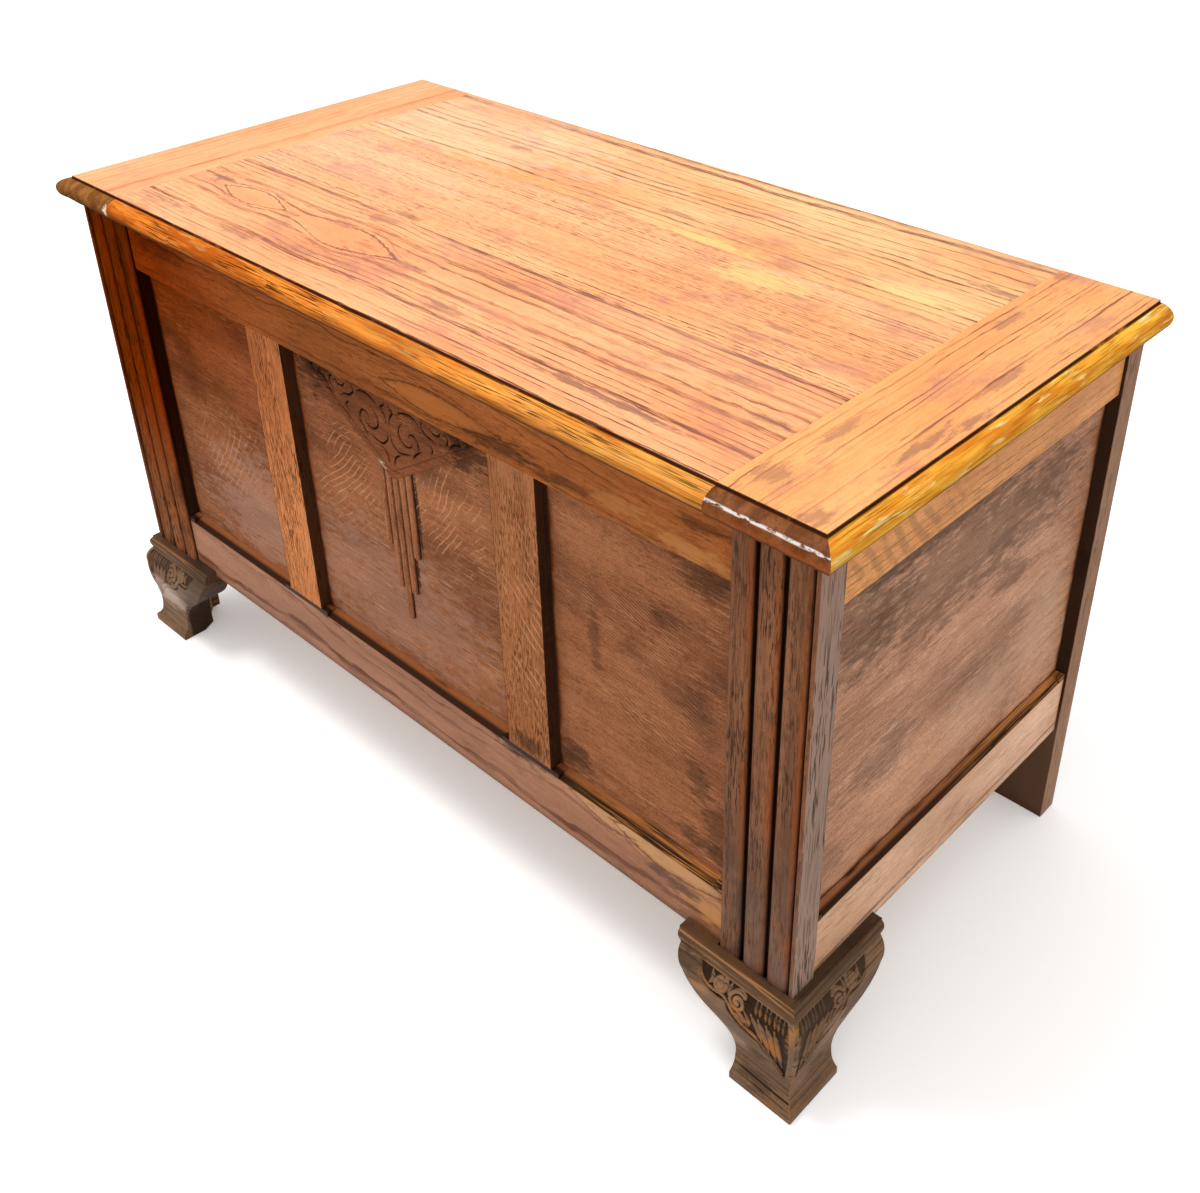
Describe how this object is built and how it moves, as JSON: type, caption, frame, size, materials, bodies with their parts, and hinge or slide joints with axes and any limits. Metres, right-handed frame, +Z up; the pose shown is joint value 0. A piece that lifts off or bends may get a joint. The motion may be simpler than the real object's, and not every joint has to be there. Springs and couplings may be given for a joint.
{
  "type": "blanket chest",
  "caption": "Long oak blanket chest with a moulded hinged lid, frame and panel sides, reeded corner posts, a carved centre ornament and carved bracket feet, for storing bedding.",
  "frame": {"origin": "on the floor, under the middle of the chest's box", "axes": "+X along the chest's length to the right seen from the front, +Y from front to back, +Z up"},
  "size_m": [0.9514, 0.4558, 0.5503],
  "materials": {
    "lid_oak": "satin varnish over golden oak",
    "frame_oak": "satin varnish over mid-brown oak",
    "panel_oak": "satin varnish over red-brown oak",
    "foot_oak": "gloss varnish over dark carved oak",
    "inner_wood": "unfinished thin board and softwood",
    "hinge_brass": "dull brass",
    "screw_steel": "plain steel"
  },
  "bodies": {
    "carcase": {"front_stile_left": "frame_oak", "front_stile_right": "frame_oak", "back_stile_left": "frame_oak", "back_stile_right": "frame_oak", "front_top_rail": "frame_oak", "front_bottom_rail": "frame_oak", "front_muntin_left": "frame_oak", "front_muntin_right": "frame_oak", "side_top_rail_left": "frame_oak", "side_top_rail_right": "frame_oak", "side_bottom_rail_left": "frame_oak", "side_bottom_rail_right": "frame_oak", "back_top_rail": "frame_oak", "back_bottom_rail": "frame_oak", "front_panel_left": "panel_oak", "front_panel_centre": "panel_oak", "front_panel_right": "panel_oak", "side_panel_left": "panel_oak", "side_panel_right": "panel_oak", "carved_pediment": "panel_oak", "pendant_reeds": "panel_oak", "foot_front_left": "foot_oak", "foot_front_right": "foot_oak", "foot_side_left": "foot_oak", "foot_side_right": "foot_oak", "back_panel": "inner_wood", "bottom_board": "inner_wood", "bottom_cleat_front": "inner_wood", "bottom_cleat_back": "inner_wood", "bottom_cleat_left": "inner_wood", "bottom_cleat_right": "inner_wood", "foot_block_left": "inner_wood", "foot_block_right": "inner_wood", "hinge_leaf_lower_left": "hinge_brass", "hinge_leaf_lower_right": "hinge_brass", "hinge_pin_left": "hinge_brass", "hinge_pin_right": "hinge_brass", "hinge_screws_carcase": "hinge_brass", "cleat_screws": "screw_steel"},
    "lid": {"lid_front_board": "lid_oak", "lid_middle_board": "lid_oak", "lid_back_board": "lid_oak", "lid_end_left": "lid_oak", "lid_end_right": "lid_oak", "hinge_leaf_upper_left": "hinge_brass", "hinge_leaf_upper_right": "hinge_brass", "hinge_screws_lid": "hinge_brass"}
  },
  "joints": [
    {"name": "lid_hinge", "type": "hinge", "parent": "carcase", "child": "lid", "pos_m": [0, 0.22155, 0.52815], "axis": [-1, 0, 0], "range_deg": [0, 98]}
  ]
}
